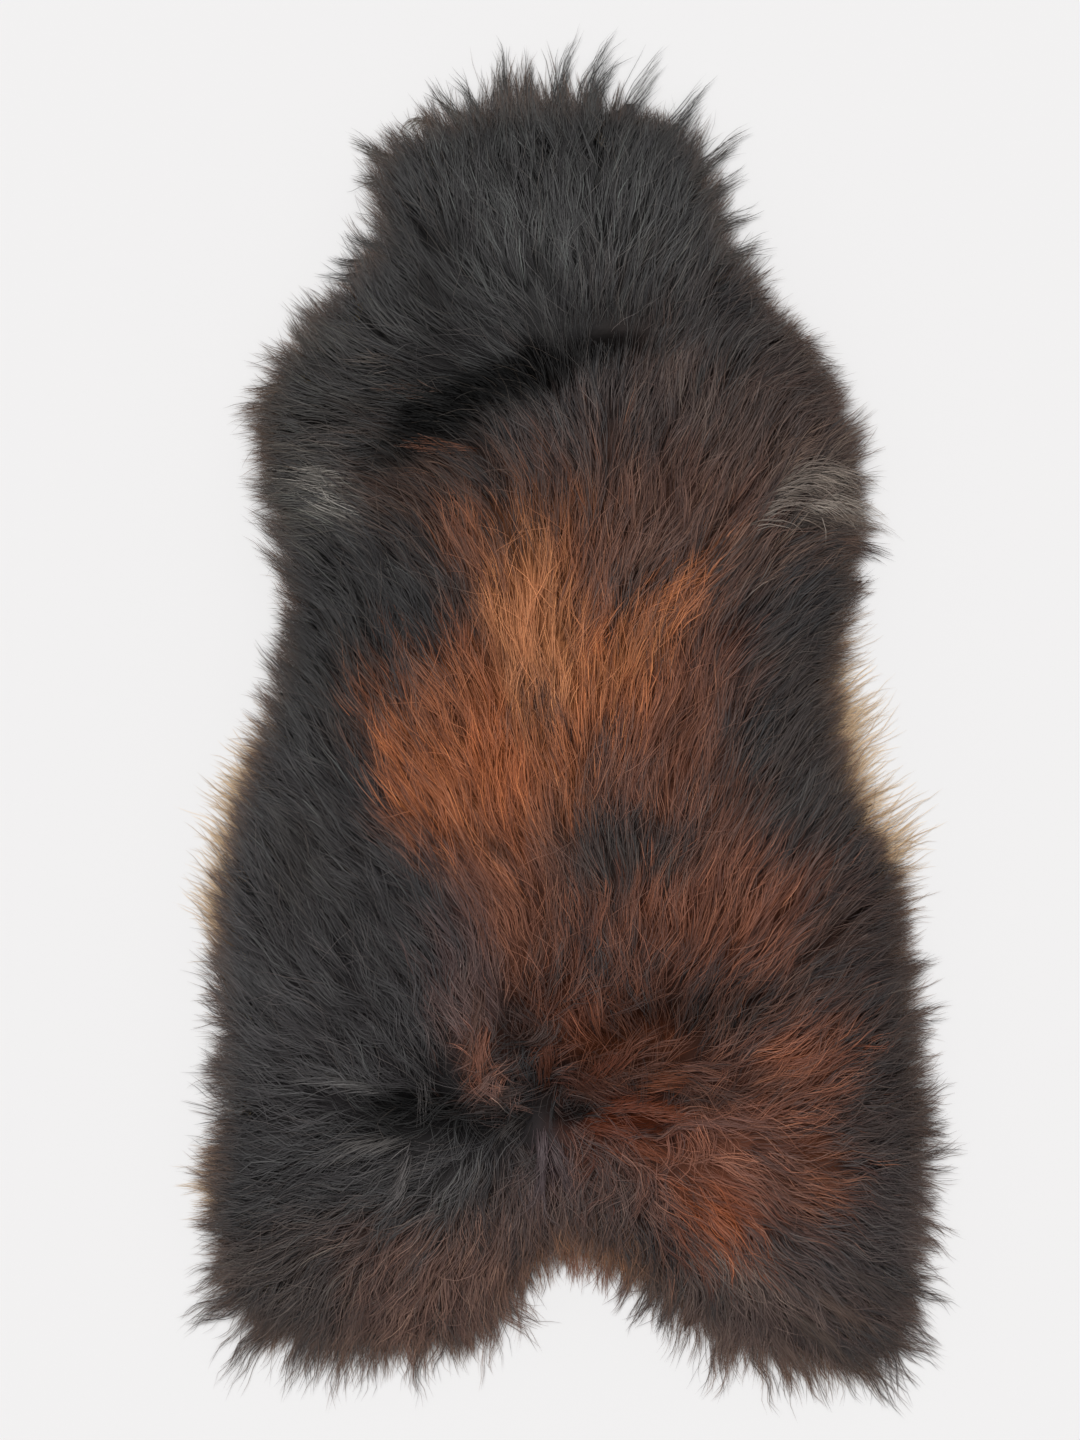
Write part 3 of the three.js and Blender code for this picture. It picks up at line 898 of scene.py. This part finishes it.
root_x, root_y = scattered(LOCK_SPACING, most=1 * MM)
locks = len(root_x)
tuft_x, tuft_y = scattered(TUFT_SPACING, most=12 * MM)
tufts = len(tuft_x)
tuft_of = np.argmin((root_x[:, None] - tuft_x) ** 2 + (root_y[:, None] - tuft_y) ** 2, 1)
tuft_luck = draw.uniform(0, 1, tufts)[tuft_of]

length = LOCK_LENGTH * draw.uniform(0.75, 1.15, locks) * (1 + LONGER_AT_ENDS * at_ends(root_y))
curl = CURL_SHARED * clouds(root_x, root_y, 45 * MM, 41) + CURL_OWN * draw.normal(0, 1, locks)
curl = np.radians(CURL) * curl
stray = draw.normal(0, STRAY, locks)
tousled = np.maximum(*spots(TOUSLED_PLACES, root_x, root_y))
turn = np.radians(TUFT_TURN[0] + TUFT_TURN[1] * tousled) * draw.normal(0, 1, tufts)[tuft_of]
turn = turn + np.radians(LOCK_TURN[0] + LOCK_TURN[1] * tousled) * draw.normal(0, 1, locks)
curl = curl + np.radians(CURL_TOUSLED) * tousled * draw.normal(0, 1, locks)
stray = stray * (1 + STRAY_TOUSLED * tousled)
length = length * (1 - SHORTER_TOUSLED * tousled)
allowed = (REACH + REACH_AT_ENDS * at_ends(root_y) + further(root_x, root_y)) * MM
allowed = allowed * (0.6 + 0.55 * tuft_luck) * draw.uniform(0.8, 1.15, locks)
allowed = allowed * (1 - CREAM_SHORTENS * np.minimum(creaminess(root_x, root_y), 1))
paths = kept_short(root_x, root_y, length, curl, stray, turn, allowed)

# locks lean together in larger tufts, most of all at the rim
along = np.linspace(0, 1, LOCK_STEPS + 1)
from_tuft = np.stack([root_x - tuft_x[tuft_of], root_y - tuft_y[tuft_of]], 1)
off_tuft = np.linalg.norm(from_tuft, axis=1)
near_rim = np.exp(np.minimum(read_grid(past_rim, root_x, root_y), 0) / RIM_FADE)
lean = LEAN + near_rim * (LEAN_AT_RIM + LEAN_AT_ENDS * at_ends(root_y))
paths = paths - from_tuft[:, None] * lean[:, None, None] * (along ** 1.3)[None, :, None]

wavy = sum(spots(WAVY_PLACES, root_x, root_y))
rump = np.clip((-root_y / MM - RUMP_FROM) / RUMP_FADE, 0, 1)
crimp = (CRIMP + CRIMP_RUMP * rump + CRIMP_WAVY * wavy) * MM * draw.uniform(0.4, 1.5, locks)
lift = TUFT_DOME * np.clip(1 - (off_tuft / TUFT_DOME_WIDE) ** 2, -0.7, 1)
lift = lift + draw.normal(0, LOCK_LIFT, locks)
lock_strands = np.where(near_rim > RIM_SHARE, RIM_STRANDS, LOCK_STRANDS)
shortest = 0.66 - 0.25 * near_rim
lock, middle, width, roll = spun(paths, lock_strands, LOCK_WIDE, crimp, lift, shortest)
strands = len(lock)

# a lock keeps its colour along its length, so each reads the coat a little up or down its lie
LOCK_DRIFT = 15 * MM
STRAND_DRIFT = 10 * MM
STRAND_ASIDE = 2 * MM
LUCK = 0.52  # of a strand with nothing added by its tuft, its lock or itself
TUFT_LUCK = 0.2
LOCK_LUCK = 0.23
STRAND_LUCK = 0.18

lie = lie_of_wool(root_x, root_y)[lock]
drift = draw.normal(0, LOCK_DRIFT, locks)[lock] + draw.normal(0, STRAND_DRIFT, strands)
seen_x = middle[..., 0] + (np.cos(lie) * drift + draw.normal(0, STRAND_ASIDE, strands))[:, None]
seen_y = middle[..., 1] + (np.sin(lie) * drift + draw.normal(0, STRAND_ASIDE, strands))[:, None]
varied = 1 - sum(spots(SLEEK_PLACES, root_x, root_y))[lock]
luck = TUFT_LUCK * draw.normal(0, 1, tufts)[tuft_of][lock]
luck = luck + LOCK_LUCK * draw.normal(0, 1, locks)[lock] + STRAND_LUCK * draw.normal(0, 1, strands)
luck = np.clip(LUCK + luck * varied, 0, 1)
tones = wool_colours(seen_x, seen_y, luck[:, None])

# some hairs are finer, paler and lie on top, and each is darker at its root than at its tip, as painted
# shade down among the locks
LOCK_BRIGHT = 0.19
STRAND_BRIGHT = 0.22
PALE_HAIRS = 0.08  # the share of hairs
PALE_BRIGHT = 1.55
PALE_WIDE = 0.8
PALE_LIFT = 1.5 * MM
PALE_THIN_WOOL = 20 * MM  # lower wool lifts them less
FINER_AT_RIM = 0.15

bright = LOCK_BRIGHT * draw.normal(0, 1, locks)[lock] + STRAND_BRIGHT * draw.normal(0, 1, strands)
bright = np.exp(bright * varied)
pale = draw.uniform(0, 1, strands) < PALE_HAIRS * varied
width = np.where(pale, PALE_WIDE * width, width) * (1 - FINER_AT_RIM * near_rim[lock])
middle[..., 2] += np.where(pale, PALE_LIFT, 0)[:, None] * np.clip(middle[..., 2] / PALE_THIN_WOOL, 0, 1)
bright = bright * np.where(pale, PALE_BRIGHT, 1)
tones = tones * bright[:, None, None] ** np.array(SUN_BLEACH)
tones = tones * np.interp(along, (0, 0.35, 1), (0.68, 0.98, 1.11))[:, None]
# painted shade of the creases and hollows
tones = tones * root_shade(middle[..., 0], middle[..., 1])[..., None]

# painted shade: the wool is darker between two tufts, and most of all at its roots there, and a little
# lighter at a tuft's middle
TUFT_WIDE = 17 * MM
BETWEEN_TUFTS_SHADE = 0.42
BETWEEN_TIP = 0.6  # how much of that the tips are without

between = np.clip(off_tuft / TUFT_WIDE, 0, 1)[lock] ** 2
tones = tones * (1.1 - BETWEEN_TUFTS_SHADE * between[:, None] * (1 - BETWEEN_TIP * along))[..., None]

# the tips at the rim are worn to tan, and more so over the cream
WORN_INSIDE = 4 * MM
WORN_FADE = 26 * MM
WORN = 0.4
WORN_CREAM = 0.5

worn = np.clip((read_grid(past_rim, middle[..., 0], middle[..., 1]) + WORN_INSIDE) / WORN_FADE, 0, 1)
worn = worn * along ** 1.5
worn = worn * (WORN + WORN_CREAM * np.minimum(creaminess(middle[..., 0], middle[..., 1]), 1))
worn = (worn * draw.uniform(0, 1.5, (strands, 1)))[..., None]
tones = stained(tones, WORN_TIP, worn)

WOOL_PIECES = ("tail_wool", "haunch_wool", "loin_wool", "shoulder_wool", "neck_wool")
order = np.argsort(root_y, kind="stable")
for name, share in zip(WOOL_PIECES, np.array_split(order, len(WOOL_PIECES))):
    picked = np.isin(lock, share)
    wool_piece(name, middle[picked], width[picked], roll[picked], tones[picked])


# Cream down
# Fine short down that shows past the long hair all round the rim. It is cream at the
# waists, the tail notch and the tips of the legs, and grey-brown elsewhere.

DOWN_SPACING = 4.4 * MM
DOWN_STRANDS = 4
CREAM_STRANDS = 6
CREAM_SHARE = 0.4  # how creamy a tuft with CREAM_STRANDS is
DOWN_LENGTH = 52 * MM
CREAM_LONGER = 0.5
DOWN_REACH = 20  # mm past the rim
CREAM_REACH = 31  # mm more
DOWN_HIGH = 0.55  # of the height of the long wool
DOWN_FINE = 0.75  # of the width of its strands
DOWN_CREAM = ("#9a7048", "#e3c9a6")  # root, tip
DOWN_BROWN = ("#3f322c", "#7f6351")

down_x, down_y = scattered(DOWN_SPACING, most=3 * MM, least=-14 * MM)
downs = len(down_x)
cream = creaminess(down_x, down_y)
all_cream = np.minimum(cream, 1)
down_length = DOWN_LENGTH * draw.uniform(0.5, 1.15, downs) * (1 + CREAM_LONGER * cream)
down_allowed = (DOWN_REACH + CREAM_REACH * all_cream + further(down_x, down_y)) * MM
down_allowed = down_allowed * draw.uniform(0.5, 1.25, downs)
down_paths = kept_short(
    down_x, down_y, down_length, curl=np.radians(16) * draw.normal(0, 1, downs),
    stray=draw.normal(0, 6 * MM, downs), turn=0, allowed=down_allowed)
tuft, middle, width, roll = spun(
    down_paths, np.where(cream > CREAM_SHARE, CREAM_STRANDS, DOWN_STRANDS), wide=8 * MM,
    crimp=1 * MM, lift=-2 * MM, shortest=0.6 - 0.25 * all_cream)
middle[..., 2] = np.maximum(DOWN_HIGH * middle[..., 2], LOWEST)

paling = np.interp(along, (0.2, 0.9), (0, 1))[:, None]
brown_tones, cream_tones = (
    stained(np.array(linear(root)), tip, paling) for root, tip in (DOWN_BROWN, DOWN_CREAM))
creamy = np.clip(cream[tuft] * draw.uniform(0.6, 1.5, len(tuft)), 0, 1)[:, None, None]
tones = brown_tones * (1 - creamy) + cream_tones * creamy
tones = tones * np.exp(0.12 * draw.normal(0, 1, len(tuft)))[:, None, None]
wool_piece("cream_down", middle, DOWN_FINE * width * (1 + 0.25 * creamy[:, 0, 0]), roll, tones)


# Standout locks
# The locks that catch the eye: the long ones over the neck's end, the grey ones that arch
# over the right shoulder, and the tufts and waves about the rump. Each is placed one by one.

STANDOUT_BRIGHT = 0.2
STANDOUT_FINE = 0.9  # of the width of the coat's strands
STANDOUT = (
    # where, x mm, y mm, heading degrees, bend degrees, length mm, half width mm, strands, lift mm, colour
    ("neck end", -8, 500, 88, -22, 78, 8, 64, 2, "#3a3938"),
    ("neck end", 16, 488, 92, -42, 90, 11, 96, 3, "#3a3938"),
    ("neck end", 44, 476, 80, -34, 90, 8, 64, 3, "#423f3e"),
    ("neck end", 72, 462, 66, -24, 84, 11, 84, 3, "#3d3b3a"),
    ("neck end", 98, 448, 52, -24, 72, 8, 60, 3, "#45403d"),
    ("neck end", 106, 430, 40, -14, 58, 8, 56, 3, "#45403d"),
    ("neck end", -52, 504, 84, 22, 64, 4, 38, 2, "#3a3836"),
    ("neck end", -66, 496, 112, 14, 52, 6, 44, 2, "#3c3a38"),
    ("neck end", -84, 498, 124, 6, 52, 6, 44, 2, "#44403c"),
    ("neck end", -28, 506, 96, -16, 56, 5, 38, 2, "#3b3938"),
    ("notch", 56, -458, 252, -14, 40, 8, 44, 1, "#5a4740"),
    ("notch", 74, -470, 250, -12, 46, 8, 50, 1, "#504440"),
    ("notch", 90, -484, 250, -8, 36, 7, 40, 1, "#4a403d"),
    ("notch top", 8, -440, 270, 0, 34, 12, 60, 1, "#7a5240"),
    ("notch top", 34, -446, 264, 0, 34, 10, 50, 1, "#6b4a3c"),
    ("neck right", 116, 410, 26, -8, 48, 9, 60, 2, "#45403d"),
    ("neck right", 122, 388, 14, 6, 48, 9, 60, 2, "#45403d"),
    ("left of the notch", -38, -460, 282, -6, 26, 11, 50, 1, "#59443c"),
    ("curl", -110, 504, 158, 95, 34, 2.5, 24, 4, "#5a5148"),
    ("neck left", -144, 470, 152, 10, 40, 6, 50, 2, "#48413b"),
    ("neck left", -142, 448, 158, 6, 38, 6, 46, 2, "#453e39"),
    ("notch", -151, 399, 168, -28, 38, 4.5, 44, 3, "#3a3735"),
    ("notch", -158, 386, 176, -10, 38, 6, 50, 2, "#3a3735"),
    ("notch", -158, 374, 180, -8, 46, 8, 60, 2, "#3a3735"),
    ("right shoulder tip", 226, 150, 350, -6, 46, 8, 60, 1, "#443936"),
    ("right shoulder", 183, 208, 62, -48, 70, 4, 40, 3, "#725d52"),
    ("right shoulder", 195, 199, 30, -68, 68, 6, 64, 5, "#93867b"),
    ("right shoulder", 199, 180, 16, -62, 70, 6, 64, 5, "#958a80"),
    ("right shoulder", 190, 172, 8, -36, 84, 6, 60, 4, "#72645a"),
    ("right shoulder", 156, 166, 54, -80, 104, 7, 64, 6, "#857970"),
    ("right shoulder", 162, 176, 60, -84, 94, 6, 50, 6, "#786b62"),
    ("orange curve", 70, 86, 66, -52, 74, 4, 44, 2, "#b06c42"),
    ("left waves", -150, -302, 168, 20, 84, 6, 60, 4, "#575453"),
    ("left waves", -134, -345, 178, 44, 82, 6, 60, 5, "#5d5957"),
    ("left waves", -130, -356, 262, -34, 58, 6, 50, 5, "#5f5a59"),
    ("over the hollow", -118, -296, 268, 14, 36, 11, 26, 1, "#4b4746"),
    ("brown tuft", -70, -222, 262, -10, 80, 6, 60, 4, "#5f4339"),
    ("orange tuft", -66, -250, 262, 8, 52, 7, 70, 6, "#7e5140"),
    ("rosy tuft", -60, -288, 250, -20, 34, 5, 44, 5, "#765950"),
    ("rust tuft", -20, -300, 62, 40, 44, 9, 70, 4, "#522a19"),
    ("rust tuft", 22, -296, 20, 60, 50, 9, 70, 4, "#5e2f1c"),
    ("rust tuft", 58, -306, 36, -50, 56, 9, 70, 4, "#6a3820"),
    ("rust tuft", 12, -286, 296, 50, 44, 8, 44, 3, "#482315"),
    ("deep rust", 26, -322, 6, 12, 52, 9, 70, 3, "#66301a"),
    ("deep rust", 62, -318, 348, 22, 46, 9, 60, 3, "#6d351c"),
    ("deep rust", 18, -334, 350, -16, 50, 9, 70, 3, "#632f19"),
    ("deep rust", 46, -342, 338, -10, 50, 9, 70, 3, "#703a22"),
    ("at the parting", -34, -326, 214, 30, 40, 10, 66, 3, "#2e2826"),
    ("at the parting", -44, -350, 322, -30, 44, 10, 66, 3, "#3b3230"),
    ("at the parting", -12, -352, 292, 10, 50, 9, 60, 4, "#4f4040"),
    ("dark tuft", -46, -330, 140, 60, 46, 9, 54, 3, "#2b2220"),
    ("dark tuft", -34, -296, 230, -50, 48, 9, 54, 3, "#3a2a25"),
    ("dark loop", -40, -262, 350, 90, 50, 8, 60, 4, "#43302a"),
    ("plum tuft", -21, -341, 268, 6, 64, 6, 64, 5, "#5a4c4e"),
    ("haunch", 87, -333, 6, -22, 82, 6, 56, 4, "#734d42"),
    ("right leg", 205, -470, 332, -30, 84, 6, 60, 5, "#5c4b43"),
    ("right leg", 190, -492, 326, -35, 84, 6, 60, 5, "#54463f"),
    ("right leg", 176, -512, 318, -30, 72, 6, 56, 4, "#5c4b43"),
    ("right leg", 226, -452, 336, -24, 78, 6, 56, 5, "#4d423e"),
    ("left shoulder", -168, 172, 158, -4, 66, 19, 46, 3, "#8d8881"),
    ("left shoulder", -176, 202, 170, 6, 70, 18, 44, 3, "#837d76"),
    ("right shoulder, dark", 170, 186, 42, -62, 84, 6, 60, 4, "#37302d"),
    ("right shoulder, dark", 178, 166, 20, -40, 78, 5, 44, 4, "#3a322e"),
    ("crease", -108, 276, 176, 4, 60, 7, 22, 2, "#5f4a40"),
    ("crease", -134, 298, 178, -10, 54, 8, 26, 2, "#544b45"),
    ("left brown", -76, 228, 178, -8, 66, 7, 40, 2, "#6e4532"),
)

standout_paths = np.zeros((len(STANDOUT), LOCK_STEPS + 1, 2))
for path, (_, start_x, start_y, first, bend, long, *_) in zip(standout_paths, STANDOUT):
    turning = np.radians(first + bend * np.linspace(0, 1, LOCK_STEPS))
    steps = np.stack([np.cos(turning), np.sin(turning)], 1) * long / LOCK_STEPS
    path[:] = np.vstack([[0, 0], np.cumsum(steps, 0)]) * MM + np.array([start_x, start_y]) * MM
half_wide, counts, lift = (np.array([row[column] for row in STANDOUT]) for column in (6, 7, 8))
lock, middle, width, roll = spun(
    standout_paths, counts, half_wide * MM, crimp=1 * MM, lift=lift * MM, shortest=0.4, slip=1.2)
tones = np.array([linear(row[9]) for row in STANDOUT])[lock][:, None]
tones = tones * np.exp(STANDOUT_BRIGHT * draw.normal(0, 1, len(lock)))[:, None, None]
# darker at the root than at the tip: painted shade down among the locks
tones = tones * np.interp(along, (0, 0.3, 1), (0.5, 0.9, 1.1))[:, None]
wool_piece("standout_locks", middle, STANDOUT_FINE * width, roll, tones)


# Stray hairs
# Single long hairs that have worked loose and lie across the coat, each more or less its
# own way. They are paler than the wool under them.

HAIR_SPACING = 12.3 * MM
HAIR_LENGTH = 82 * MM
HAIR_FINE = 0.6  # of the width of the coat's strands
HAIR_BRIGHT = 1.5
HAIR_TAN = "#9c8876"
HAIR_TANNED = 0.14

hair_x, hair_y = scattered(HAIR_SPACING, most=-4 * MM)
hairs = len(hair_x)
hair_paths = kept_short(
    hair_x, hair_y, length=HAIR_LENGTH * draw.uniform(0.6, 1.15, hairs),
    curl=np.radians(45) * draw.normal(0, 1, hairs), stray=draw.normal(0, 10 * MM, hairs),
    turn=np.radians(26) * draw.normal(0, 1, hairs), allowed=30 * MM)
_, middle, width, roll = spun(
    hair_paths, 1, wide=1 * MM, crimp=1.2 * MM, lift=3.6 * MM, shortest=0.8)
point_x, point_y = middle[..., 0], middle[..., 1]
tones = wool_colours(point_x, point_y, luck=0.6)
# painted shade of the creases and hollows
tones = tones * root_shade(point_x, point_y)[..., None]
tones = HAIR_BRIGHT * tones * draw.uniform(0.7, 1.5, (hairs, 1, 1))
tones = stained(tones, HAIR_TAN, HAIR_TANNED * draw.uniform(0, 1, (hairs, 1, 1)))
wool_piece("stray_hairs", middle, HAIR_FINE * width, roll, tones)
